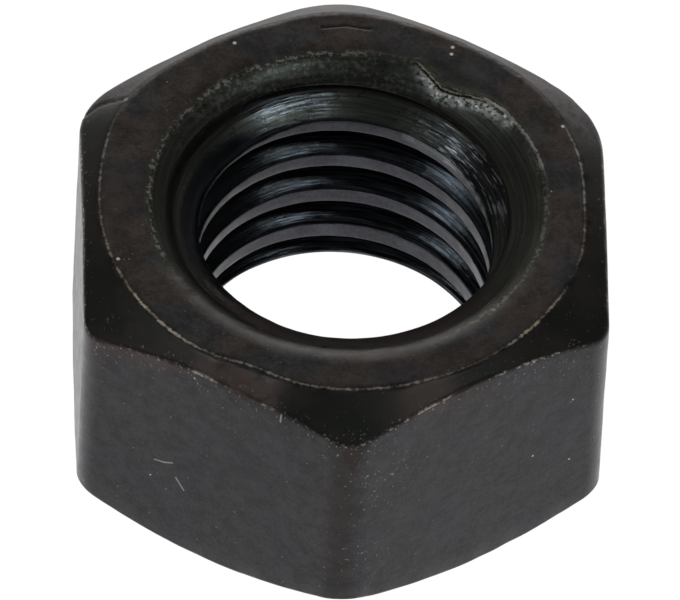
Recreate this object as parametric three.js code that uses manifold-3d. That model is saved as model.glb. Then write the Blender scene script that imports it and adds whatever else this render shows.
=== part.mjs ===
import * as THREE from "three";
import { mergeVertices } from "three/addons/utils/BufferGeometryUtils.js";
import Module from "manifold-3d";

// A 1/2"-13 hex nut: one piece of black-oxide steel, in millimetres, +Z up along the thread.
// The origin is the centre of the lower bearing face, and two corners lie on the Y axis.

const INCH = 25.4;

// Hexagon
const ACROSS_FLATS = (3 / 4) * INCH;
const HEIGHT = 10.85;
const CORNER_RADIUS = 1.3;

// Chamfer on both faces: the circle it leaves on the face, and its slope down from there
const FACE_RADIUS = 8.9;
const CHAMFER_ANGLE = THREE.MathUtils.degToRad(30);
const CHAMFER_REACH = 3;

// Thread: 60 degree, right hand. The crest is the narrow flat at the minor radius. The height of
// its top turn is given at the back, on +Y, which is this much of a turn round from +X.
const PITCH = INCH / 13;
const MAJOR_RADIUS = (1 / 2) * INCH / 2;
const MINOR_RADIUS = 5.35;
const FLANK_ANGLE = THREE.MathUtils.degToRad(30);
const ROOT_FLAT = PITCH / 8;
const BACK_CREST_BELOW_TOP = 1.98;
const BACK_OF_TURN = 1 / 4;

// Countersinks: wide and shallow on top, steeper and deeper below
const TOP_COUNTERSINK_RADIUS = 7.18;
const TOP_COUNTERSINK_HALF_ANGLE = THREE.MathUtils.degToRad(55);
const BOTTOM_COUNTERSINK_RADIUS = 7.12;
const BOTTOM_COUNTERSINK_HALF_ANGLE = THREE.MathUtils.degToRad(45);

// Cutting tools run past what they cut by this much, and the groove by this many turns at each end
const OVERRUN = 0.3;
const SPARE_TURNS = 1;

// Facets
const FACETS_PER_TURN = 48;
const CHAMFER_FACETS = 96;
const CORNER_FACETS = 8;

const wasm = await Module();
wasm.setup();

// A closed three.js geometry as a solid that can be cut.
function toSolid(geometry) {
  const bare = geometry.clone();
  bare.deleteAttribute("normal");
  bare.deleteAttribute("uv");
  const merged = mergeVertices(bare);
  return new wasm.Manifold(new wasm.Mesh({
    numProp: 3,
    vertProperties: new Float32Array(merged.attributes.position.array),
    triVerts: new Uint32Array(merged.index.array),
  }));
}

// A cut solid as a three.js geometry again.
function toGeometry(solid) {
  const { vertProperties, triVerts, numProp } = solid.getMesh();
  const geometry = new THREE.BufferGeometry();
  geometry.setAttribute("position", new THREE.BufferAttribute(new Float32Array(vertProperties), numProp));
  geometry.setIndex(new THREE.BufferAttribute(new Uint32Array(triVerts), 1));
  geometry.computeVertexNormals();
  return geometry;
}

// A solid of revolution about Z from [radius, height] pairs that start and end on the axis.
function turned(profile, facets) {
  const points = profile.map(([radius, height]) => new THREE.Vector2(radius, height));
  const geometry = new THREE.LatheGeometry(points, facets);
  geometry.rotateX(Math.PI / 2);
  return toSolid(geometry);
}

// The hexagon with an arc at each corner, flats facing +X and -X.
function hexagonOutline() {
  const outline = new THREE.Shape();
  const arcCentreRadius = (ACROSS_FLATS / 2 - CORNER_RADIUS) / Math.cos(Math.PI / 6);
  for (let corner = 0; corner < 6; corner += 1) {
    const direction = Math.PI / 6 + corner * Math.PI / 3;
    const x = arcCentreRadius * Math.cos(direction);
    const y = arcCentreRadius * Math.sin(direction);
    outline.absarc(x, y, CORNER_RADIUS, direction - Math.PI / 6, direction + Math.PI / 6, false);
  }
  outline.closePath();
  return outline;
}

// The hexagonal blank, straight sided.
function hexagonBlank() {
  const options = { depth: HEIGHT, curveSegments: CORNER_FACETS, bevelEnabled: false };
  return toSolid(new THREE.ExtrudeGeometry(hexagonOutline(), options));
}

// The double cone whose inside is kept when both faces are chamfered.
function chamferEnvelope() {
  const drop = CHAMFER_REACH * Math.tan(CHAMFER_ANGLE);
  return turned([
    [0, 0],
    [FACE_RADIUS, 0],
    [FACE_RADIUS + CHAMFER_REACH, drop],
    [FACE_RADIUS + CHAMFER_REACH, HEIGHT - drop],
    [FACE_RADIUS, HEIGHT],
    [0, HEIGHT],
  ], CHAMFER_FACETS);
}

// The bore at the minor radius, opened at both ends by the countersinks.
function boreCutter() {
  const topSlope = Math.tan(TOP_COUNTERSINK_HALF_ANGLE);
  const bottomSlope = Math.tan(BOTTOM_COUNTERSINK_HALF_ANGLE);
  return turned([
    [0, -OVERRUN],
    [BOTTOM_COUNTERSINK_RADIUS + OVERRUN * bottomSlope, -OVERRUN],
    [MINOR_RADIUS, (BOTTOM_COUNTERSINK_RADIUS - MINOR_RADIUS) / bottomSlope],
    [MINOR_RADIUS, HEIGHT - (TOP_COUNTERSINK_RADIUS - MINOR_RADIUS) / topSlope],
    [TOP_COUNTERSINK_RADIUS + OVERRUN * topSlope, HEIGHT + OVERRUN],
    [0, HEIGHT + OVERRUN],
  ], FACETS_PER_TURN);
}

// One thread groove in section: x is the radius and y the height, narrowing to the root flat.
function grooveSection() {
  const innerRadius = MINOR_RADIUS - OVERRUN / 2;
  const innerHalfWidth = ROOT_FLAT / 2 + (MAJOR_RADIUS - innerRadius) * Math.tan(FLANK_ANGLE);
  const section = new THREE.Shape();
  section.moveTo(innerRadius, -innerHalfWidth);
  section.lineTo(MAJOR_RADIUS, -ROOT_FLAT / 2);
  section.lineTo(MAJOR_RADIUS, ROOT_FLAT / 2);
  section.lineTo(innerRadius, innerHalfWidth);
  section.closePath();
  return section;
}

// The groove as a right-hand helix: it is extruded straight, one unit long for each turn, and
// then bent round the axis.
function grooveCutter() {
  const turnsInNut = Math.ceil(HEIGHT / PITCH);
  const turns = turnsInNut + 2 * SPARE_TURNS;
  const options = { depth: turns, steps: turns * FACETS_PER_TURN, bevelEnabled: false };
  const geometry = new THREE.ExtrudeGeometry(grooveSection(), options);
  const position = geometry.attributes.position;
  const aboveBackCrest = HEIGHT - BACK_CREST_BELOW_TOP + PITCH / 2;
  const start = aboveBackCrest - PITCH * (turnsInNut + BACK_OF_TURN);
  for (let i = 0; i < position.count; i += 1) {
    const radius = position.getX(i);
    const rise = position.getY(i);
    const turn = position.getZ(i);
    const angle = 2 * Math.PI * turn;
    position.setXYZ(i, radius * Math.cos(angle), radius * Math.sin(angle), start + PITCH * turn - rise);
  }
  return toSolid(geometry);
}

function nutBody() {
  const solid = hexagonBlank()
    .intersect(chamferEnvelope())
    .subtract(boreCutter())
    .subtract(grooveCutter());
  const blackOxide = new THREE.MeshStandardMaterial({ color: 0x2b2a2a, roughness: 0.45, metalness: 0.9 });
  const mesh = new THREE.Mesh(toGeometry(solid), blackOxide);
  mesh.name = "nut_body";
  return mesh;
}

const hexNut = new THREE.Group();
hexNut.name = "hex_nut";
hexNut.add(nutBody());

export default hexNut;
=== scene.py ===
"""A hex nut in worn black-oxide steel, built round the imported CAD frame. Lengths are in millimetres
until a mesh is made. Angles are in degrees in the constants and the marks, and in radians in the
rest. The camera looks at the -Y corner from above, so the front is -Y and the back is +Y."""

import math
from types import SimpleNamespace

import bpy
import numpy as np
from mathutils import Matrix, Vector


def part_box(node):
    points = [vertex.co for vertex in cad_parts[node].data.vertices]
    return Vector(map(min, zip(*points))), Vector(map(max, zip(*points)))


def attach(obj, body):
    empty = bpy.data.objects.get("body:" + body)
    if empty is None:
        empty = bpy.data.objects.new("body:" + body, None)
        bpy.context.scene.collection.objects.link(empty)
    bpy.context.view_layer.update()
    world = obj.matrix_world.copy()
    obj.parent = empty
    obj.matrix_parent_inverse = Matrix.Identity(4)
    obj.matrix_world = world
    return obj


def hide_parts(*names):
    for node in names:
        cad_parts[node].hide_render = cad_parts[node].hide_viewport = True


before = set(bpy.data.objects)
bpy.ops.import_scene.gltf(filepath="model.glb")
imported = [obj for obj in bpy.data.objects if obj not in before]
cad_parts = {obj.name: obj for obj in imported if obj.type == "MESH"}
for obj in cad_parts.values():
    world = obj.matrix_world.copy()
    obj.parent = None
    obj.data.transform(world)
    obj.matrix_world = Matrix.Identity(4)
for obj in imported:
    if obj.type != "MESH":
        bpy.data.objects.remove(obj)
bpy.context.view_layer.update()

MM = 0.001
node_low, node_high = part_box("nut_body")
APOTHEM = (node_high.x - node_low.x) / 2 / MM
HEIGHT = (node_high.z - node_low.z) / MM

# Hexagon and chamfers. Corner k points to 30 + 60 k degrees, anticlockwise from +X.
SIXTH = math.radians(60)
CORNER_RADII = np.array((4.0, 2.2, 2.8, 1.2, 1.6, 1.2))
TOP_CHAMFER_SLOPE = math.tan(math.radians(30))
BACK_CHAMFER_EXTRA = 0.25
BOTTOM_CHAMFER_SLOPE = math.tan(math.radians(33))
FACE_RADIUS = 8.9

# Where the ring round the top face swells or dips: angle, half width in degrees, and rise
RING_BUMPS = ((149, 15, 0.3), (88, 15, 0.27), (36, 14, 0.1), (0, 12, -0.17), (246, 10, -0.3))

# Thread: right hand, its axis a little off the hexagon's
BORE_CENTRE = (0.11, 0.05)
PITCH = 25.4 / 13
MAJOR_RADIUS = 6.35
MINOR_RADIUS = 5.35
FLANK_SLOPE = math.tan(math.radians(60))
CREST_FLAT = 0.62
BACK_CREST_BELOW_TOP = 1.98

# Countersinks, and the heights between which the bore is cut as a thread. A row of the thread
# counts as clipped when it is this close to either.
TOP_SINK_RADIUS = 7.18
TOP_SINK_SLOPE = math.tan(math.radians(55))
BOTTOM_SINK_RADIUS = 7.12
BOTTOM_SINK_SHIFT = -0.2
BOTTOM_SINK_SLOPE = math.tan(math.radians(45))
THREAD_BOTTOM = 0.75
THREAD_TOP = HEIGHT - 0.42
CLIPPED = 0.01

# Mesh density: columns round the nut, how much closer together they are at the corners and from
# +X round to the back end of the lap, and the thread's rows as shares of a turn
COLUMNS = 440
CLOSER_AT_CORNERS = 1.2
CLOSER_ALONG_LAP = 2.2
THREAD_PHASES = np.array((
    0, .07, .115, .14, .152, .164, .19, .25, .32, .39, .43, .46,
    .5, .54, .57, .61, .68, .75, .81, .836, .848, .86, .885, .93,
))

# The lap left by the tap's burr: angle and radius about the bore, from its back end to its front
LAP_PATH = ((68, 7.22), (63, 6.95), (58, 6.7), (53, 6.78), (49, 6.93), (43, 7.14), (37, 7.22), (31, 7.22),
            (25, 7.25), (18, 7.26), (12, 7.23), (6, 7.19))
LAP_WIDTH = 0.06
LAP_DEPTH = 0.1
LIP_RISE = 0.05
LIP_OFFSET = 0.14
LIP_WIDTH = 0.09

# Dents in the top face and chamfer, as x and y: a crease and a shallow scratch
CREASE_PATH = ((-9.3, 4.8), (-8.95, 5.08), (-8.55, 5.15), (-8.2, 5.07), (-7.9, 4.98))
CREASE_DEPTH = 0.05
CREASE_WIDTH = 0.09
SCORE_PATH = ((-0.6, 8.42), (0.28, 8.53), (1.2, 8.34))
SCORE_DEPTH = 0.04
SCORE_WIDTH = 0.05

# Fine scratches on the front left flat, each from one place to another
SCRATCHES = (
    ((-6.83, -7.05, 4.7), (-6.5, -7.25, 4.76)),
    ((-6.5, -7.25, 4.76), (-6.2, -7.42, 4.93)),
    ((-6.06, -7.5, 4.2), (-5.76, -7.67, 3.7)),
    ((-2.48, -9.57, 10.36), (-2.5, -9.55, 9.75)),
)

# The brightest grains of dust on the top face, as x and y
GRITS = ((-3.82, 7.64), (4.08, 7.17), (4.13, 7.5), (8.05, 3.72), (-8.27, -2.78))

# Bare metal on the ring round the face and on the countersink's rim: strength, the angles in
# degrees between which it lies, and how far it fades out past them
RING_WEAR = (
    (1.1, -155, -130, 14), (0.5, -126, -60, 10), (0.75, -52, -30, 8), (0.35, -18, 22, 8),
    (0.35, 160, 200, 10),
)
RING_WEAR_ALL_ROUND = 0.12
RIM_WEAR = ((0.7, 150, 205, 10), (0.8, 84, 146, 10), (0.3, -58, 22, 10))
SHOULDER_WEAR = (
    (1, -77, -67, 1.5), (1, -127, -120, 1.5), (1, -109, -106, 1.5), (1, -153, -148, 1.5),
    (1, -49, -45, 1.5),
)

# Stains at the chamfer's lower edge, given like the wear: dark ones on it, pale ones above it
DARK_STAINS = ((1, -150, -128, 4), (0.7, -78, -60, 6))
PALE_STAINS = ((1, -126, -106, 3), (0.6, -79, -66, 3))

# Round stains and clusters of specks: strength, distance from the axis, angle, depth below the
# top face, and size
ROUND_STAINS = ((1, 8.8, -43, 0, 0.8), (0.5, 8.1, 176, 0, 1.3), (0.35, 8.2, -80, 0, 1.6))
SPECK_CLUSTERS = (
    (1, 10.6, -150, 1.3, 1.3), (1, 10.7, -90, 1.3, 1.1), (1, 10.4, -84, 3.6, 1.2),
    (0.8, 10.5, -88, 7.5, 1.2), (0.6, 9.8, -38, 1, 1.6),
)
BRIGHT_SPOT = (1, 9.26, 147.8, 0.1, 0.14)

# Arcs, as the angles between which a mark lies and how far it fades out past them. Those of the
# lap, the countersink and the thread are measured about the bore.
LAP_ARC = (12, 68, 3)
SCUFF_ARC = (34, 66, 6)
SINK_BACK_ARC = (66, 150, 24)
TORN_GLINTS_ARC = (8, 60, 14)
POLISHED_GLINT_ARC = (94, 122, 7)
FIRST_TURN_ARC = (-50, 230, 20)
STREAKED_HIGHLIGHT_ARC = (-120, 122, 14)
INNER_RIM_ARC = (-150, -35, 14)
FRONT_RIM_SHEEN_ARC = (-150, -40, 25)
BACK_CHAMFER_SHEEN_ARC = (20, 152, 5)


def smooth_step(low, high, value):
    t = np.clip((value - low) / (high - low), 0, 1)
    return t * t * (3 - 2 * t)


def smooth_max(a, b, blend):
    return (a + b + np.sqrt((a - b) ** 2 + blend ** 2)) / 2


def smooth_min(a, b, blend):
    return (a + b - np.sqrt((a - b) ** 2 + blend ** 2)) / 2


def wobble(points, wavelength, seed, waves=14):
    """Smooth noise between about -1 and 1 at points, an array whose first axis is x, y, z."""
    rng = np.random.default_rng(seed)
    total = np.zeros(points.shape[1:])
    for _ in range(waves):
        direction = rng.normal(size=3)
        direction *= 2 * math.pi / wavelength * rng.uniform(0.6, 1.4) / np.linalg.norm(direction)
        total += np.sin(np.tensordot(direction, points, 1) + rng.uniform(0, 2 * math.pi))
    return total / math.sqrt(waves)


def column_angles():
    """Angles of the mesh's columns, closer together at the corners and along the lap."""
    fine = np.linspace(0, 2 * math.pi, 7201)
    from_corner = np.abs((fine + SIXTH) % SIXTH - SIXTH / 2)
    density = 1 + CLOSER_AT_CORNERS * smooth_step(math.radians(9), math.radians(4), from_corner)
    density += CLOSER_ALONG_LAP * smooth_step(84, 74, np.degrees(fine))
    total = np.concatenate(((0,), np.cumsum((density[1:] + density[:-1]) / 2)))
    return np.interp(np.arange(COLUMNS) / COLUMNS * total[-1], total, fine)


def hexagon_radius(theta):
    """Distance from the axis to the side of the hexagon, whose corners are arcs."""
    offset = np.abs(theta - np.round(theta / SIXTH) * SIXTH)
    arc = CORNER_RADII[np.floor(theta / SIXTH).astype(int) % 6]
    reach = (APOTHEM - arc) / math.cos(SIXTH / 2)
    tangent = np.arctan2(reach / 2, APOTHEM)
    from_corner = SIXTH / 2 - offset
    chord = np.sqrt(np.maximum(arc ** 2 - (reach * np.sin(from_corner)) ** 2, 0))
    return np.where(offset > tangent, reach * np.cos(from_corner) + chord, APOTHEM / np.cos(offset))


def face_radius(theta):
    """Radius of the uneven circle that the top chamfer leaves."""
    radius = FACE_RADIUS * np.ones_like(theta)
    for centre, width, rise in RING_BUMPS:
        away = (np.degrees(theta) - centre + 180) % 360 - 180
        radius += rise * np.exp(-(away / width) ** 2)
    return radius


def chamfer_drop(theta):
    """How far the top chamfer has fallen where it meets the side. It is steeper at the back."""
    slope = TOP_CHAMFER_SLOPE + BACK_CHAMFER_EXTRA * smooth_step(0.3, 0.95, np.sin(theta))
    return (hexagon_radius(theta) - face_radius(theta)) * slope


def thread_radius(theta, z):
    """Distance from the bore's axis to the thread, without the countersinks."""
    phase = (z - (HEIGHT - BACK_CREST_BELOW_TOP)) / PITCH - theta / (2 * math.pi) + 1 / 4
    above_crest = (phase - np.round(phase)) * PITCH
    # The crest's flat narrows from above, towards the left and towards the top of the nut
    left = smooth_step(0.1, 0.9, -np.cos(theta))
    narrowed = 0.16 * left + 0.05 * (z - HEIGHT + 2) / PITCH
    narrowed += 0.24 * left * smooth_step(HEIGHT - 3.0, HEIGHT - 2.2, z)
    from_edge = np.maximum(above_crest - CREST_FLAT / 2 + narrowed, -above_crest - CREST_FLAT / 2)
    flank = MINOR_RADIUS + from_edge * FLANK_SLOPE
    return smooth_min(smooth_max(flank, MINOR_RADIUS, 0.05), MAJOR_RADIUS, 0.08)


def sink_radius(theta, z):
    """Distance from the bore's axis to the nearer countersink, or nothing between them."""
    top = TOP_SINK_RADIUS - (HEIGHT - z) * TOP_SINK_SLOPE
    bottom = BOTTOM_SINK_RADIUS + BOTTOM_SINK_SHIFT * np.cos(theta) - z * BOTTOM_SINK_SLOPE
    return np.maximum(top, bottom)


def bore_radius(theta, z):
    blend = 0.05 + 0.3 * smooth_step(HEIGHT - 1.6, HEIGHT - 1.0, z)
    return smooth_max(thread_radius(theta, z), sink_radius(theta, z), blend)


def unit(v):
    return v / np.linalg.norm(v, axis=0)


def outer_section(theta):
    """The mesh's rows from the foot of the thread out round the hexagon and back to its head: for
    each its radius and height by column, how far it is centred on the bore, and its marks."""
    side = hexagon_radius(theta)
    top = face_radius(theta)
    ones = np.ones_like(theta)
    points = np.array((
        (bore_radius(theta, THREAD_BOTTOM * ones), THREAD_BOTTOM * ones),
        (BOTTOM_SINK_RADIUS + BOTTOM_SINK_SHIFT * np.cos(theta), 0 * ones),
        (FACE_RADIUS * ones, 0 * ones),
        (side, (side - FACE_RADIUS) * BOTTOM_CHAMFER_SLOPE),
        (side, HEIGHT - chamfer_drop(theta)),
        (top, HEIGHT * ones),
        (TOP_SINK_RADIUS * ones, HEIGHT * ones),
        (bore_radius(theta, THREAD_TOP * ones), THREAD_TOP * ones),
    ))
    # For each bend: its mark, how far it is rounded along both sides, rows round it, rows after
    # it, and how far the rows there are centred on the bore instead of the hexagon
    bends = (
        ("sink_edge", 0.12, 5, 4, 1),
        ("ring", 0.1, 5, 3, 0),
        ("shoulder", 0.12, 5, 10, 0),
        ("shoulder", 0.16, 7, 12, 0),
        ("ring", 0.18, 9, 20, 0),
        ("rim", 0.62, 15, 2, 1),
    )
    rows = [(points[0], 1, {})]
    start, centring, rows_before = points[0], 1, 4
    for k, (name, setback, rows_round, rows_after, centred) in enumerate(bends, 1):
        first = points[k] + setback * unit(points[k - 1] - points[k])
        last = points[k] + setback * unit(points[k + 1] - points[k])
        for n in range(1, rows_before + 1):
            t = n / (rows_before + 1)
            rows.append((start + (first - start) * t, centring + (centred - centring) * t, {}))
        for t in np.linspace(0, 1, rows_round):
            bend = (1 - t) ** 2 * first + 2 * t * (1 - t) * points[k] + t ** 2 * last
            rows.append((bend, centred, {name: 1 - abs(2 * t - 1)}))
        start, centring, rows_before = last, centred, rows_after
    for n in range(1, rows_before + 2):
        rows.append((start + (points[-1] - start) * n / (rows_before + 1), 1, {}))
    return rows


def thread_rows(theta):
    """Heights of the thread's rows, which follow the helix, and the turn and phase of each row.
    The row after the last column is the one a whole turn up, so each row is one pitch higher
    after a turn round the bore."""
    crest = HEIGHT - BACK_CREST_BELOW_TOP - PITCH / 4
    lowest = math.floor((THREAD_BOTTOM - crest) / PITCH) - 1
    turns = math.ceil((THREAD_TOP - THREAD_BOTTOM) / PITCH) + 3
    leads = np.concatenate([THREAD_PHASES + lowest + turn for turn in range(turns)])
    heights = crest + PITCH * (leads[:, None] + theta[None, :] / (2 * math.pi))
    return np.clip(heights, THREAD_BOTTOM, THREAD_TOP), leads


def triangles(corners):
    """Two triangles for each cell of four corner ids, without those whose corners coincide."""
    a, b, c, d = corners
    both = np.concatenate([np.stack(half, -1).reshape(-1, 3) for half in ((a, b, c), (a, c, d))])
    distinct = (both[:, 0] != both[:, 1]) & (both[:, 1] != both[:, 2]) & (both[:, 2] != both[:, 0])
    return both[distinct]


def vertex_normals(points, faces):
    corner = points[faces]
    face_normal = np.cross(corner[:, 1] - corner[:, 0], corner[:, 2] - corner[:, 0])
    normals = np.zeros_like(points)
    for k in range(3):
        np.add.at(normals, faces[:, k], face_normal)
    return normals / np.linalg.norm(normals, axis=1, keepdims=True)


def path_distance(x, y, path):
    """Distance in plan from each point to a path of points."""
    nearest = np.full(x.shape, 1e9)
    for (ax, ay), (bx, by) in zip(path[:-1], path[1:]):
        dx, dy = bx - ax, by - ay
        t = np.clip(((x - ax) * dx + (y - ay) * dy) / (dx * dx + dy * dy), 0, 1)
        nearest = np.minimum(nearest, np.hypot(x - ax - t * dx, y - ay - t * dy))
    return nearest


def around_bore(path):
    """A path given as angles in degrees and radii about the bore, as x and y."""
    turned = ((math.radians(angle), radius) for angle, radius in path)
    return [(BORE_CENTRE[0] + r * math.cos(a), BORE_CENTRE[1] + r * math.sin(a)) for a, r in turned]


def outer_points(theta, rows):
    """The points of the outer section's rows, as x, y and z by row and column, and their marks."""
    points = np.empty((3, len(rows), COLUMNS))
    marks = {name: np.zeros((len(rows), COLUMNS)) for name in ("sink_edge", "ring", "shoulder", "rim")}
    for n, ((radius, z), centring, row_marks) in enumerate(rows):
        points[0, n] = centring * BORE_CENTRE[0] + radius * np.cos(theta)
        points[1, n] = centring * BORE_CENTRE[1] + radius * np.sin(theta)
        points[2, n] = z
        for name, value in row_marks.items():
            marks[name][n] = value
    return points, marks


def nut_faces(row_count, heights, inside):
    """Triangles of the outer section and the thread. Where the thread's rows are clipped, their
    ends are the first and last row of the outer section."""
    count = row_count * COLUMNS
    grid = np.arange(count).reshape(row_count, COLUMNS)
    turned = np.roll(grid, -1, axis=1)
    outer = triangles((grid[:-1], turned[:-1], turned[1:], grid[1:]))

    ids = np.where(heights > THREAD_BOTTOM + CLIPPED, grid[-1], grid[0])
    ids[inside] = count + np.arange(inside.sum())
    per_turn = len(THREAD_PHASES)
    ahead = np.roll(ids, -1, axis=1)
    ahead[:-per_turn, -1] = ids[per_turn:, 0]
    ahead[-per_turn:, -1] = grid[-1, 0]
    thread = triangles((ids[1:], ahead[1:], ahead[:-1], ids[:-1]))
    return np.concatenate((outer, thread))


def thread_streaks(column, row, lead):
    """Unevenness that runs along each of the thread's rows."""
    per_turn = len(THREAD_PHASES)
    along = column + 2 * math.pi * np.floor(lead)
    rng = np.random.default_rng(31)
    streak = np.zeros(len(column))
    for _ in range(5):
        rate = rng.uniform(0.4, 3.5, per_turn)
        shift = rng.uniform(0, 2 * math.pi, per_turn)
        size = rng.normal(size=per_turn)
        streak += size[row] * np.sin(rate[row] * along + shift[row])
    return streak / 2


def nut_mesh():
    """Points, triangles and the marks that follow the mesh's rows."""
    theta = column_angles()
    rows = outer_section(theta)
    outer, outer_marks = outer_points(theta, rows)
    heights, leads = thread_rows(theta)
    inside = (heights > THREAD_BOTTOM + CLIPPED) & (heights < THREAD_TOP - CLIPPED)

    column = np.broadcast_to(theta, heights.shape)[inside]
    z = heights[inside]
    radius = bore_radius(column, z)
    x = BORE_CENTRE[0] + radius * np.cos(column)
    y = BORE_CENTRE[1] + radius * np.sin(column)
    points = np.concatenate((outer.reshape(3, -1), np.stack((x, y, z))), axis=1).T

    row_in_turn = np.arange(len(leads)) % len(THREAD_PHASES)
    row = np.broadcast_to(row_in_turn[:, None], heights.shape)[inside]
    lead = np.broadcast_to(leads[:, None], heights.shape)[inside]
    crest = smooth_step(0.07, 0.03, radius - MINOR_RADIUS)
    crest *= smooth_step(0, 0.06, radius - sink_radius(column, z))
    threaded = smooth_step(0.04, 0.3, thread_radius(column, z) - sink_radius(column, z))
    threaded = np.maximum(threaded, smooth_step(HEIGHT - 1.9, HEIGHT - 2.2, z))
    streak = thread_streaks(column, row, lead) * threaded

    marks = {name: np.append(value, np.zeros(len(z))) for name, value in outer_marks.items()}
    for name, value in (("crest", crest), ("threaded", threaded), ("streak", streak)):
        marks[name] = np.append(np.zeros(outer[0].size), value)
    return points, nut_faces(len(rows), heights, inside), marks


def spots(points, places):
    """The sum of soft round marks at places, each a strength, distance from the axis, angle in
    degrees, depth below the top face and size."""
    total = 0
    for strength, radius, angle, depth, size in places:
        turn = math.radians(angle)
        centre = (radius * math.cos(turn), radius * math.sin(turn), HEIGHT - depth)
        total = total + strength * np.exp(-np.sum((points - centre) ** 2, axis=1) / size ** 2)
    return total


def arc_mark(degrees, start, end, fade):
    """1 between two angles in degrees, fading out past each end."""
    middle, half = (start + end) / 2, (end - start) / 2
    away = np.abs((degrees - middle + 180) % 360 - 180)
    return smooth_step(half + fade, half - fade, away)


def arcs(degrees, places):
    """The sum of arc marks at places, each a strength and then as for arc_mark."""
    return sum(strength * arc_mark(degrees, *arc) for strength, *arc in places)


class Places:
    """Where the mesh's points lie on the hexagon and about the bore."""

    def __init__(self, points):
        self.points = points
        self.x, self.y, self.z = points.T
        self.from_axis = np.hypot(self.x, self.y)
        self.degrees = np.degrees(np.arctan2(self.y, self.x))
        bore_x, bore_y = self.x - BORE_CENTRE[0], self.y - BORE_CENTRE[1]
        self.from_bore = np.hypot(bore_x, bore_y)
        self.bore_degrees = np.degrees(np.arctan2(bore_y, bore_x))
        self.on_top = smooth_step(HEIGHT - 1.6, HEIGHT - 0.8, self.z)


def surface_push(at, marks):
    """How far each point moves out for the unevenness of the forging, the tap and the edges."""
    everywhere = at.points.T
    uneven = 0.007 * wobble(everywhere, 3.2, 1) + 0.003 * wobble(everywhere, 0.9, 2)
    push = uneven * (1 - marks["threaded"])
    push += 0.006 * marks["streak"] * (1 - 0.5 * marks["crest"])
    push += 0.005 * wobble(everywhere, 0.8, 5) * (marks["crest"] + 2 * marks["sink_edge"])
    bends = marks["ring"] + marks["shoulder"] + marks["rim"]
    push -= 0.02 * bends * smooth_step(-0.2, 1.2, wobble(everywhere, 1.1, 3))
    return push


def lap_push(at, marks):
    """The lap: a crack with a raised lip outside it and scuffed metal inside it."""
    angles, radii = (np.array(side) for side in zip(*LAP_PATH[::-1]))
    away = path_distance(at.x, at.y, around_bore(LAP_PATH))
    outside = np.sign(at.from_bore - np.interp(at.bore_degrees, angles, radii))
    marks["lap"] = np.clip(away * outside, -1, 1)
    marks["lapped"] = arc_mark(at.bore_degrees, *LAP_ARC) * (at.on_top > 0) * (away < 0.6)
    marks["cracked"] = at.on_top * smooth_step(36, 50, at.bore_degrees)
    push = -LAP_DEPTH * np.exp(-(away / LAP_WIDTH) ** 2) * marks["cracked"]
    lip = np.exp(-((away - LIP_OFFSET) / LIP_WIDTH) ** 2)
    push += LIP_RISE * lip * at.on_top * (outside > 0)
    scuff = arc_mark(at.bore_degrees, *SCUFF_ARC) * smooth_step(5.7, 6.2, at.from_bore)
    scuff = scuff * (outside < 0) * at.on_top * smooth_step(0.5, 0.08, away)
    push += 0.02 * scuff * wobble(at.points.T, 0.35, 4)
    marks["scuff"] = scuff
    return push


def dent_push(at, marks):
    """The crease and the shallow scratch, each a mark that gives the distance from its path."""
    push = 0
    for name, path, depth, width in (
            ("crease", CREASE_PATH, CREASE_DEPTH, CREASE_WIDTH),
            ("score", SCORE_PATH, SCORE_DEPTH, SCORE_WIDTH)):
        away = path_distance(at.x, at.y, path)
        push = push - depth * np.exp(-(away / width) ** 2) * at.on_top
        marks[name] = np.where(at.on_top > 0, np.clip(away, 0, 1), 1)
    return push


def mark_wear(at, marks):
    """Where the edges of the top face show bare metal or pale rust, and where a sheen is painted on the
    front rim.
    """
    marks["bright_spot"] = spots(at.points, (BRIGHT_SPOT,))
    marks["ring_wear"] = at.on_top * (RING_WEAR_ALL_ROUND + arcs(at.degrees, RING_WEAR))
    marks["rim_wear"] = at.on_top * arcs(at.degrees, RIM_WEAR)
    marks["bare_shoulder"] = marks["shoulder"] * at.on_top * arcs(at.degrees, SHOULDER_WEAR)
    inner = smooth_step(6.9, 6.6, at.from_bore)
    marks["inner_rim"] = at.on_top * inner * arc_mark(at.degrees, *INNER_RIM_ARC)
    # The front rim, where a sheen is painted
    marks["front_rim_sheen"] = marks["rim"] * at.on_top * arc_mark(at.degrees, *FRONT_RIM_SHEEN_ARC)


def mark_bore(at, marks):
    """The countersink, the groove, and the torn and polished metal where the thread starts, with the marks
    for the glints and highlights painted there.
    """
    wrapped = (at.bore_degrees + 90) % 360 - 90
    above_crest = at.z - (HEIGHT - BACK_CREST_BELOW_TOP) - PITCH * (wrapped - 90) / 360
    # Torn metal at the thread's start, with glints painted on it
    torn_glints = smooth_step(-0.1, 0.1, above_crest) * smooth_step(1.0, 0.75, above_crest)
    marks["torn_glints"] = torn_glints * arc_mark(at.bore_degrees, *TORN_GLINTS_ARC) * (at.from_bore < 6.6)
    # Polished metal in the first groove, with a glint painted on it
    polished_glint = smooth_step(0.25, 0.5, above_crest) * smooth_step(1.3, 1.0, above_crest)
    marks["polished_glint"] = polished_glint * arc_mark(wrapped, *POLISHED_GLINT_ARC) * (at.from_bore < 6.7)
    above_first = smooth_step(0.15, 0.35, above_crest) * arc_mark(wrapped, *FIRST_TURN_ARC)
    marks["groove"] = marks["threaded"] * (1 - above_first)
    # Streaks in the groove, paler where a highlight is painted on them
    marks["streaked_and_highlit"] = marks["groove"] * (0.15 + 0.85 * arc_mark(wrapped, *STREAKED_HIGHLIGHT_ARC))
    sink = smooth_step(7.5, 7.2, at.from_bore) * smooth_step(5.6, 6.1, at.from_bore)
    sink = sink * at.on_top * (1 - marks["threaded"])
    marks["sink_back"] = sink * arc_mark(at.bore_degrees, *SINK_BACK_ARC)
    marks["sink"] = np.maximum(sink, marks["threaded"] * above_first)


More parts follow.
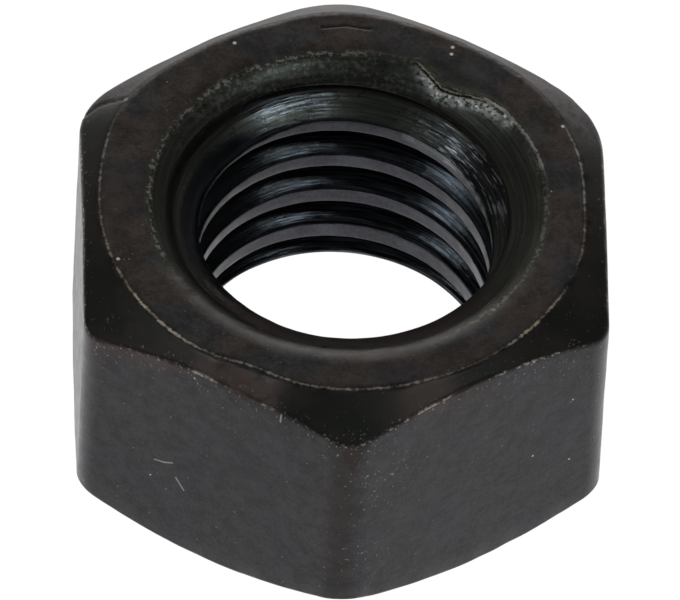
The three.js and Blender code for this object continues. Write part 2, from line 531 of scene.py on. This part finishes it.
def mark_outside(at, normals, marks):
    """The chamfers, and the stains and specks on them and on the flats."""
    below_edge = HEIGHT - chamfer_drop(np.radians(at.degrees % 360)) - at.z
    band = smooth_step(-0.3, -0.1, below_edge) * smooth_step(0.42, 0.25, below_edge)
    band = band * (at.from_axis > 9.1)
    marks["tip"] = smooth_step(-0.1, 0.1, HEIGHT - 1.2 - at.z) * smooth_step(-8.6, -9.4, at.y)
    pale_band = smooth_step(-0.62, -0.45, below_edge) * smooth_step(0.1, -0.02, below_edge)
    marks["pale_stain"] = pale_band * (at.from_axis > 8.8) * arcs(at.degrees, PALE_STAINS)
    stain = spots(at.points, ROUND_STAINS) + band * arcs(at.degrees, DARK_STAINS)
    stain = stain + 0.6 * smooth_step(0.9, 0.2, at.z) * marks["shoulder"]
    marks["stain"] = np.clip(stain, 0, 1)
    marks["speckled"] = np.clip(spots(at.points, SPECK_CLUSTERS) + 0.8 * band, 0, 1)
    level = smooth_step(0.25, 0.5, np.abs(normals[:, 2]))
    marks["upper"] = level * (1 - marks["threaded"])
    marks["chamfer"] = smooth_step(8.95, 9.1, at.from_axis) * marks["upper"]
    # The back chamfer, where a sheen is painted
    marks["back_chamfer_sheen"] = marks["chamfer"] * at.on_top * arc_mark(at.degrees, *BACK_CHAMFER_SHEEN_ARC)


def shape_marks(points, normals, marks):
    """Adds the marks that depend on place. Returns how far each point is pushed out."""
    at = Places(points)
    push = surface_push(at, marks) + lap_push(at, marks) + dent_push(at, marks)
    mark_wear(at, marks)
    mark_bore(at, marks)
    mark_outside(at, normals, marks)
    return push + 0.04 * marks["torn_glints"] * marks["streak"]


def build_nut():
    points, faces, marks = nut_mesh()
    normals = vertex_normals(points, faces)
    push = shape_marks(points, normals, marks)
    points = points + normals * push[:, None]

    mesh = bpy.data.meshes.new("nut")
    mesh.from_pydata(points * MM, [], faces.tolist())
    mesh.validate()
    mesh.shade_smooth()
    for name, value in marks.items():
        layer = mesh.attributes.new(name, "FLOAT", "POINT")
        layer.data.foreach_set("value", value.astype(np.float32))
    nut = bpy.data.objects.new("nut", mesh)
    bpy.context.scene.collection.objects.link(nut)
    return nut


class Nodes:
    """A short way to write a node tree."""

    def __init__(self, tree):
        self.tree = tree
        tree.nodes.clear()

    def add(self, kind, inputs=(), **settings):
        node = self.tree.nodes.new(kind)
        for name, value in settings.items():
            setattr(node, name, value)
        for key, value in dict(inputs).items():
            if isinstance(value, bpy.types.NodeSocket):
                self.tree.links.new(value, node.inputs[key])
            else:
                node.inputs[key].default_value = value
        return node

    def math(self, operation, a, b=0.0, clamp=False):
        return self.add("ShaderNodeMath", {0: a, 1: b}, operation=operation, use_clamp=clamp).outputs[0]

    def both(self, a, b):
        """The product of two masks, kept between 0 and 1."""
        return self.math("MULTIPLY", a, b, True)

    def vector(self, operation, a, b=(0, 0, 0)):
        node = self.add("ShaderNodeVectorMath", {0: a, 1: b}, operation=operation)
        is_number = operation in ("LENGTH", "DISTANCE", "DOT_PRODUCT")
        return node.outputs["Value" if is_number else "Vector"]

    def scale(self, vector, factor):
        inputs = {0: vector, "Scale": factor}
        return self.add("ShaderNodeVectorMath", inputs, operation="SCALE").outputs["Vector"]

    def ramp(self, value, low, high, to_low=0.0, to_high=1.0):
        inputs = {"Value": value, "From Min": low, "From Max": high, "To Min": to_low, "To Max": to_high}
        return self.add("ShaderNodeMapRange", inputs, interpolation_type="SMOOTHSTEP").outputs["Result"]

    def mix(self, factor, a, b):
        node = self.add("ShaderNodeMix", data_type="RGBA")
        for socket, value in zip((node.inputs[0], node.inputs[6], node.inputs[7]), (factor, a, b)):
            if isinstance(value, bpy.types.NodeSocket):
                self.tree.links.new(value, socket)
            else:
                socket.default_value = value
        return node.outputs[2]

    def noise(self, vector, scale, detail=3.0, roughness=0.55):
        inputs = {"Vector": vector, "Scale": scale, "Detail": detail, "Roughness": roughness}
        return self.add("ShaderNodeTexNoise", inputs).outputs["Fac"]

    def segment(self, point, start, end):
        """Distance from a point to the straight line between two places."""
        start, along = Vector(start), Vector(end) - Vector(start)
        offset = self.vector("SUBTRACT", point, start)
        t = self.math("DIVIDE", self.vector("DOT_PRODUCT", offset, along), along.length_squared, True)
        return self.vector("DISTANCE", offset, self.scale(along, t))

    def bump(self, height, strength, distance, normal=None):
        """The normal after a bump of this height, whose distance is in millimetres."""
        inputs = {"Height": height, "Strength": strength, "Distance": distance * MM}
        if normal is not None:
            inputs["Normal"] = normal
        return self.add("ShaderNodeBump", inputs).outputs["Normal"]

    def attribute(self, name):
        return self.add("ShaderNodeAttribute", attribute_name=name).outputs["Fac"]


def oxide(value, red=0.0, blue=0.0):
    """A grey of this linear value, tinted by this much red and blue."""
    return (value * (1 + red), value, value * (1 + blue), 1)


# The surface is this much metal, and these are its linear base colours
METAL = 0.6
BROWN_GREY = oxide(0.007, 0.16, -0.04)
BLUE_GREY = oxide(0.007, 0.02, 0.3)
PALE_BROWN_GREY = oxide(0.024, 0.14, 0.0)
PALE_BLUE_GREY = oxide(0.024, 0.02, 0.32)
TOP_BROWN = oxide(0.021, 0.38, -0.2)
TOP_GREY = oxide(0.019, 0.06, 0.0)
TOP_PALE_BROWN = oxide(0.052, 0.36, -0.2)
TOP_PALE_GREY = oxide(0.048, 0.06, 0.0)
CHAMFER_GREEN = oxide(0.024, -0.03, -0.2)
CHAMFER_BROWN = oxide(0.034, 0.25, -0.2)
# A painted sheen on the back chamfer, standing in for its reflection
CHAMFER_SHEEN = oxide(0.11, 0.1, 0.02)
SINK_DARK = oxide(0.043, 0.0, -0.22)
SINK_PALE = oxide(0.085, 0.0, -0.22)
SINK_SCUFFED = oxide(0.20, 0.0, -0.1)
THREAD_DARK = oxide(0.014, -0.1, 0.1)
# Pale streaks on the flanks: partly the metal's own streaks, partly a painted highlight
THREAD_PALE_HIGHLIGHT = oxide(0.11, -0.1, 0.2)
CREST_DARK = oxide(0.020, 0.0, 0.35)
CREST_PALE = oxide(0.042, 0.0, 0.35)
# Painted glints: the bright dashes on the torn metal
TORN_GLINTS = oxide(0.30, -0.02, 0.12)
# Painted glint on the streaks of the polished metal
POLISHED_GLINT = oxide(0.26, -0.08, 0.14)
# Painted sheen on the front rim of the countersink
RIM_SHEEN = oxide(0.060, 0.08, -0.04)
SPECK = oxide(0.20, 0.05, -0.1)
RUST = oxide(0.030, 0.45, -0.1)
RUST_PALE = (0.052, 0.032, 0.027, 1)
STAIN_PALE = (0.12, 0.082, 0.072, 1)
DRIP = (0.011, 0.004, 0.001, 1)
BRASSY = oxide(0.62, 0.15, -0.3)
WORN = oxide(0.38, 0.08, -0.15)
BARE = oxide(0.7, 0.03, -0.05)
LIP = oxide(0.42, 0.05, -0.06)
# Painted shade in the lap's crack, the crease and the score
CRACK_SHADE = oxide(0.003)
DUST = oxide(0.45, 0.05, -0.08)
DUST_FAINT = oxide(0.10, 0.05, -0.08)

# Layers of specks and dust: cells to a millimetre, share of cells left empty, radius of the
# largest grain in cells, colour, and the mark that says where the layer lies
DUST_LAYERS = (
    (2.9, 0.5, 0.12, DUST_FAINT, "dusty"),
    (7.0, 0.5, 0.26, SPECK, "speckled"),
    (3.6, 0.35, 0.19, SPECK, "speckled"),
    (1.3, 0.76, 0.055, DUST, "dusty"),
)

# The drip below the front tip: a strip down the corner, and a wedge that narrows downwards
STRIP_X = -0.2
WEDGE_X = 0.12
WEDGE_LENGTH = 2.9
WEDGE_SPREAD = 0.27


def shared_fields(n):
    """Places and noises that the layers of the material share, with lengths in millimetres."""
    f = SimpleNamespace()
    f.mm = n.scale(n.add("ShaderNodeTexCoord").outputs["Object"], 1 / MM)
    f.grain = n.noise(f.mm, 7.0, 4.0, 0.7)
    f.mottle = n.noise(f.mm, 1.7, 5.0, 0.65)
    f.cloud = n.noise(f.mm, 0.45)
    f.speck = n.noise(f.mm, 6.0, 2.0, 0.6)
    f.patches = n.ramp(f.cloud, 0.42, 0.62)
    # Two noises drawn out round the bore: long streaks, and short dashes
    flat = n.vector("MULTIPLY", n.vector("SUBTRACT", f.mm, (*BORE_CENTRE, 0)), (1, 1, 0))
    bearing = n.vector("NORMALIZE", flat)
    height = n.add("ShaderNodeSeparateXYZ", {0: f.mm}).outputs["Z"]
    outwards = n.math("MULTIPLY", n.vector("LENGTH", flat), 13.0)
    across = n.math("ADD", outwards, n.math("MULTIPLY", height, 0.6))
    lift = n.add("ShaderNodeCombineXYZ", {"Z": across}).outputs[0]
    f.streaks = n.noise(n.vector("ADD", n.scale(bearing, 2.2), lift), 1.0, 3.0, 0.6)
    f.dashes = n.noise(n.vector("ADD", n.scale(bearing, 6.5), lift), 1.0, 2.0, 0.6)
    f.crest = n.both(n.attribute("crest"), n.math("SUBTRACT", 1.0, n.attribute("torn_glints")))
    return f


def oxide_colour(n, f):
    """Brown and grey patches on the flats and the face, the chamfers and the countersink, and a painted
    sheen on the back chamfer.
    """
    tone = n.math("ADD", n.math("MULTIPLY", f.mottle, 0.6), n.math("MULTIPLY", f.grain, 0.4))
    tone = n.ramp(tone, 0.38, 0.62)
    side_dark = n.mix(f.patches, BROWN_GREY, BLUE_GREY)
    side_pale = n.mix(f.patches, PALE_BROWN_GREY, PALE_BLUE_GREY)
    top_dark = n.mix(f.patches, TOP_BROWN, TOP_GREY)
    top_pale = n.mix(f.patches, TOP_PALE_BROWN, TOP_PALE_GREY)
    colour = n.mix(tone, side_dark, side_pale)
    colour = n.mix(n.attribute("upper"), colour, n.mix(tone, top_dark, top_pale))
    chamfer = n.mix(f.patches, CHAMFER_GREEN, CHAMFER_BROWN)
    colour = n.mix(n.attribute("chamfer"), colour, chamfer)
    # A painted sheen on the back chamfer
    back_chamfer_sheen = n.mix(tone, CHAMFER_BROWN, CHAMFER_SHEEN)
    colour = n.mix(n.attribute("back_chamfer_sheen"), colour, back_chamfer_sheen)
    sink = n.mix(n.ramp(f.streaks, 0.4, 0.65), SINK_DARK, SINK_PALE)
    colour = n.mix(n.attribute("sink"), colour, sink)
    scuffs = n.both(n.ramp(f.speck, 0.42, 0.7), n.ramp(f.mottle, 0.38, 0.6))
    return n.mix(n.both(n.attribute("sink_back"), scuffs), colour, SINK_SCUFFED)


def thread_layer(n, f, colour):
    """Streaked flanks with a painted highlight, bare crests, and the torn and polished metal where the
    thread starts, with glints painted on it.
    """
    torn_glints = n.attribute("torn_glints")
    # Pale streaks, fullest where a highlight is painted on them
    pale = n.math("MULTIPLY", n.ramp(f.streaks, 0.45, 0.62), n.attribute("streaked_and_highlit"))
    colour = n.mix(n.attribute("groove"), colour, n.mix(pale, THREAD_DARK, THREAD_PALE_HIGHLIGHT))
    crest = n.mix(n.ramp(f.grain, 0.35, 0.65), CREST_DARK, CREST_PALE)
    colour = n.mix(n.math("MULTIPLY", f.crest, 0.8), colour, crest)
    colour = n.mix(n.math("MULTIPLY", torn_glints, 0.7), colour, THREAD_DARK)
    # Painted glints: bright dashes on the torn metal
    colour = n.mix(n.both(torn_glints, n.ramp(f.dashes, 0.56, 0.62)), colour, TORN_GLINTS)
    # A painted glint on the polished metal's streaks
    glare = n.both(n.attribute("polished_glint"), n.ramp(f.streaks, 0.47, 0.56))
    return n.mix(glare, colour, POLISHED_GLINT)


def stain_layer(n, f, colour):
    """A painted sheen on the front rim of the countersink, and brown stains, all broken up by noise."""
    # The front rim's pale band is a painted sheen; the others are stains
    for mark, noise, full, least, shade in (
            ("front_rim_sheen", f.speck, 0.6, 0.2, RIM_SHEEN),
            ("stain", f.mottle, 0.6, 0.5, RUST),
            ("pale_stain", f.mottle, 0.55, 0.35, STAIN_PALE),
            ("inner_rim", f.mottle, 0.6, 0.5, RUST_PALE)):
        broken = n.ramp(noise, 0.3, full, least, 1.0)
        colour = n.mix(n.both(n.attribute(mark), broken), colour, shade)
    return colour


def drip_layer(n, f, colour):
    where = n.add("ShaderNodeSeparateXYZ", {0: f.mm}).outputs
    ragged = n.ramp(f.mottle, 0.3, 0.7, -0.12, 0.12)
    strip = n.math("ADD", n.math("SUBTRACT", where["X"], STRIP_X), ragged)
    strip = n.ramp(n.math("ABSOLUTE", strip), 0.6, 0.2, 0.0, 0.45)
    above_end = n.math("SUBTRACT", where["Z"], HEIGHT - WEDGE_LENGTH)
    half_width = n.math("MULTIPLY", above_end, WEDGE_SPREAD)
    wedge = n.math("ABSOLUTE", n.math("SUBTRACT", where["X"], WEDGE_X))
    wedge = n.math("ADD", n.math("SUBTRACT", wedge, half_width), ragged)
    drip = n.math("MAXIMUM", strip, n.ramp(wedge, 0.06, -0.06))
    return n.mix(n.both(drip, n.attribute("tip")), colour, DRIP)


def fleck_layer(n, f, colour):
    """The brightest grains of dust, and the fine scratches."""
    for x, y in GRITS:
        away = n.vector("DISTANCE", f.mm, (x, y, HEIGHT))
        colour = n.mix(n.ramp(away, 0.085, 0.055), colour, BARE)
    for start, end in SCRATCHES:
        away = n.segment(f.mm, start, end)
        colour = n.mix(n.ramp(away, 0.045, 0.02, 0.0, 0.55), colour, WORN)
    return colour


def wear_layer(n, f, colour):
    """Thin lines of bare metal on the ring and the rim, broken into specks, and chipped edges."""
    golden = n.ramp(n.attribute("ring_wear"), 0.6, 1.0)
    width = n.ramp(f.speck, 0.25, 0.75, -0.22, 0.12)
    width = n.math("ADD", width, n.math("MULTIPLY", golden, 0.07))
    ring = n.ramp(n.math("ADD", n.attribute("ring"), width), 0.62, 0.9)
    wear = n.math("MULTIPLY", n.attribute("ring_wear"), n.ramp(f.mottle, 0.32, 0.62, 0.15, 1.5))
    wear = n.math("MULTIPLY", wear, n.ramp(f.speck, 0.35, 0.6, 0.5, 1.2))
    colour = n.mix(n.both(ring, wear), colour, n.mix(golden, WORN, BRASSY))
    rim = n.math("ADD", n.attribute("rim"), n.ramp(f.speck, 0.25, 0.75, -0.5, 0.12))
    colour = n.mix(n.both(n.ramp(rim, 0.7, 0.95), n.attribute("rim_wear")), colour, WORN)
    chips = n.both(n.ramp(f.speck, 0.52, 0.66), n.ramp(f.cloud, 0.42, 0.6))
    colour = n.mix(n.both(n.ramp(n.attribute("shoulder"), 0.3, 0.9), chips), colour, WORN)
    bare = n.ramp(n.attribute("bare_shoulder"), 0.3, 0.9)
    colour = n.mix(n.both(bare, n.ramp(f.speck, 0.38, 0.55)), colour, WORN)
    scuff = n.both(n.attribute("scuff"), n.ramp(f.speck, 0.34, 0.54))
    return n.mix(scuff, colour, BARE)


def damage_layer(n, f, colour):
    """The lap's bright lip, painted shade in the crack inside it, in the crease and in the score, and a
    bright spot.
    """
    cracked, lapped = n.attribute("cracked"), n.attribute("lapped")
    lap = n.math("ADD", n.attribute("lap"), n.ramp(f.speck, 0.2, 0.8, -0.03, 0.03))
    past_lip = n.math("SUBTRACT", lap, n.ramp(cracked, 0.0, 1.0, 0.17, 0.11))
    lip = n.both(n.ramp(lap, 0.02, 0.05), n.ramp(past_lip, 0.0, -0.04))
    lip = n.math("MULTIPLY", lip, lapped)
    lip = n.math("MULTIPLY", lip, n.ramp(f.mottle, 0.3, 0.5, 0.3, 1.0))
    colour = n.mix(lip, colour, n.mix(cracked, LIP, BRASSY))
    crack = n.both(n.ramp(lap, -0.06, -0.02), n.ramp(lap, 0.045, 0.02))
    crack = n.math("MULTIPLY", crack, n.math("MULTIPLY", lapped, cracked))
    # Painted shade in the crack
    colour = n.mix(crack, colour, CRACK_SHADE)
    # Painted shade along the crease and the score
    crease = n.ramp(n.attribute("crease"), 0.06, 0.025)
    score = n.ramp(n.attribute("score"), 0.05, 0.02)
    colour = n.mix(n.math("MAXIMUM", crease, score), colour, CRACK_SHADE)
    return n.mix(n.ramp(n.attribute("bright_spot"), 0.3, 0.8), colour, WORN)


def dust_layer(n, f, colour):
    """Specks on the speckled places, and dust everywhere but in the thread."""
    inputs = {"Vector": f.mm, "Scale": 22.0, "Detail": 1.0}
    jitter = n.scale(n.add("ShaderNodeTexNoise", inputs).outputs["Color"], 0.07)
    ragged = n.vector("ADD", f.mm, jitter)
    where = {
        "dusty": n.math("SUBTRACT", 1.0, n.attribute("threaded")),
        "speckled": n.attribute("speckled"),
    }
    for density, empty, size, shade, mark in DUST_LAYERS:
        cells = n.add("ShaderNodeTexVoronoi", {"Vector": ragged, "Scale": density})
        chance = n.add("ShaderNodeSeparateColor", {0: cells.outputs["Color"]})
        chosen = n.math("GREATER_THAN", chance.outputs[0], empty)
        reach = n.math("MULTIPLY", n.ramp(chance.outputs[1], 0.0, 1.0, 0.3, 1.0), size)
        grain = n.math("MULTIPLY", n.math("LESS_THAN", cells.outputs["Distance"], reach), chosen)
        colour = n.mix(n.math("MULTIPLY", grain, where[mark]), colour, shade)
    return colour


def finish_roughness(n, f):
    """Rougher on the chamfers, and smoother where the tap left the metal bare."""
    tapped = n.math("MAXIMUM", n.attribute("groove"), n.attribute("polished_glint"))
    tapped = n.math("MAXIMUM", tapped, n.attribute("torn_glints"))
    smoother = n.math("MULTIPLY", n.math("SUBTRACT", tapped, f.crest, True), -0.19)
    roughness = n.math("ADD", n.ramp(f.mottle, 0.3, 0.7, 0.27, 0.38), smoother)
    return n.math("ADD", roughness, n.math("MULTIPLY", n.attribute("chamfer"), 0.12))


def finish_normal(n, f):
    """Furrows round the bore, then fine grain and broad unevenness, both less on the chamfers."""
    furrowed = n.math("MULTIPLY", n.attribute("sink"), 0.35)
    for mark in ("streaked_and_highlit", "polished_glint"):
        furrowed = n.math("MAXIMUM", furrowed, n.attribute(mark))
    deeper = n.math("ADD", 1.0, n.math("MULTIPLY", n.attribute("torn_glints"), 4.0))
    furrows = n.math("MULTIPLY", n.math("MULTIPLY", f.streaks, furrowed), deeper)
    normal = n.bump(furrows, 1.0, 0.016)
    share = n.math("SUBTRACT", 1.0, n.math("MULTIPLY", n.attribute("chamfer"), 0.75))
    for noise, distance in ((f.grain, 0.012), (f.mottle, 0.025)):
        height = n.math("MULTIPLY", n.math("SUBTRACT", noise, 0.5), share)
        normal = n.bump(height, 0.6, distance, normal)
    return normal


def black_oxide():
    material = bpy.data.materials.new("black_oxide_steel")
    material.use_nodes = True
    n = Nodes(material.node_tree)
    f = shared_fields(n)
    colour = oxide_colour(n, f)
    for layer in (thread_layer, stain_layer, drip_layer, fleck_layer, wear_layer, damage_layer, dust_layer):
        colour = layer(n, f, colour)
    shader = n.add("ShaderNodeBsdfPrincipled", {
        "Base Color": colour, "Roughness": finish_roughness(n, f), "Metallic": METAL,
        "Normal": finish_normal(n, f), "Specular IOR Level": 0.5})
    n.add("ShaderNodeOutputMaterial", {"Surface": shader.outputs[0]})
    return material


# Softboxes in the world: direction, half angle, radiance, colour, and the share of its spread
# over which the edge fades
WHITE = (1, 1, 1, 1)
COOL = (0.82, 0.95, 1, 1)
SOFTBOXES = (
    ((0.0, 0.66, 0.75), 34, 0.36, WHITE, 0.5),
    ((0.04, 0.96, 0.26), 22, 1.0, WHITE, 0.5),
    ((0.37, -0.25, 0.90), 5.5, 8.0, COOL, 0.15),
    ((-0.53, -0.08, 0.85), 5.5, 8.0, COOL, 0.15),
)

# The room's light overhead and at the horizon
ROOM_ABOVE = 0.04
ROOM_LEVEL = 0.16

# The floor, in metres: half its side, and how far from the nut its glow starts and stops fading
FLOOR_HALF = 2.0
FLOOR_FADE_START = 0.09
FLOOR_FADE_END = 0.25
FLOOR_GLOW_NEAR = 1.02
FLOOR_GLOW_FAR = 0.6


def floor_material():
    material = bpy.data.materials.new("floor")
    material.use_nodes = True
    n = Nodes(material.node_tree)
    far = n.vector("LENGTH", n.add("ShaderNodeTexCoord").outputs["Object"])
    strength = n.ramp(far, FLOOR_FADE_START, FLOOR_FADE_END, FLOOR_GLOW_NEAR, FLOOR_GLOW_FAR)
    glow = n.add("ShaderNodeEmission", {"Color": WHITE, "Strength": strength})
    n.add("ShaderNodeOutputMaterial", {"Surface": glow.outputs[0]})
    return material


def build_floor():
    corners = [(x * FLOOR_HALF, y * FLOOR_HALF, 0) for x, y in ((-1, -1), (1, -1), (1, 1), (-1, 1))]
    mesh = bpy.data.meshes.new("floor")
    mesh.from_pydata(corners, [], [(0, 1, 2, 3)])
    mesh.materials.append(floor_material())
    floor = bpy.data.objects.new("floor", mesh)
    bpy.context.scene.collection.objects.link(floor)


def build_world():
    """A dim room, white below the horizon so that the floor has no far edge, and the softboxes."""
    world = bpy.data.worlds.new("studio")
    bpy.context.scene.world = world
    world.use_nodes = True
    n = Nodes(world.node_tree)
    direction = n.add("ShaderNodeTexCoord").outputs["Generated"]
    up = n.add("ShaderNodeSeparateXYZ", {0: direction}).outputs["Z"]
    room = n.math("ADD", n.ramp(up, 0.0, 0.9, ROOM_LEVEL, ROOM_ABOVE), n.ramp(up, -0.02, -0.05))
    glow = n.add("ShaderNodeBackground", {"Color": WHITE, "Strength": room}).outputs[0]
    for towards, spread, strength, shade, fade in SOFTBOXES:
        near = n.vector("DOT_PRODUCT", direction, Vector(towards).normalized())
        edge = math.cos(math.radians(spread))
        lit = n.ramp(near, edge, edge + (1 - edge) * fade, 0.0, strength)
        box = n.add("ShaderNodeBackground", {"Color": shade, "Strength": lit})
        glow = n.add("ShaderNodeAddShader", {0: glow, 1: box.outputs[0]}).outputs[0]
    n.add("ShaderNodeOutputWorld", {"Surface": glow})


# Camera: a long lens over the front corner, a little to its left and rolled a little. The middle
# of the top face lies this far above and to the right of the middle of the picture.
ELEVATION = 49.26
YAW = 3.8
ROLL = 3.2
DISTANCE = 1025
FIELD_WIDTH = 24.67
SENSOR = 36
TOP_CENTRE_UP = 3.55
TOP_CENTRE_RIGHT = 0.16


def build_camera():
    elevation, yaw, roll = (math.radians(a) for a in (ELEVATION, YAW, ROLL))
    back = Vector((-math.cos(elevation) * math.sin(yaw), -math.cos(elevation) * math.cos(yaw),
                   math.sin(elevation)))
    level_right = Vector((0, 0, 1)).cross(back).normalized()
    level_up = back.cross(level_right)
    right = math.cos(roll) * level_right + math.sin(roll) * level_up
    up = math.cos(roll) * level_up - math.sin(roll) * level_right
    target = Vector((0, 0, HEIGHT)) - TOP_CENTRE_UP * up - TOP_CENTRE_RIGHT * right
    data = bpy.data.cameras.new("camera")
    data.sensor_width = SENSOR
    data.lens = SENSOR * DISTANCE / FIELD_WIDTH
    data.clip_start, data.clip_end = 0.05, 20
    camera = bpy.data.objects.new("camera", data)
    bpy.context.scene.collection.objects.link(camera)
    axes = Matrix((right, up, back)).transposed().to_4x4()
    camera.matrix_world = Matrix.Translation((target + DISTANCE * back) * MM) @ axes
    bpy.context.scene.camera = camera


nut = build_nut()
nut.data.materials.append(black_oxide())
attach(nut, "root")
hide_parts("nut_body")
build_floor()
build_world()
build_camera()
bpy.context.scene.view_settings.view_transform = "Standard"
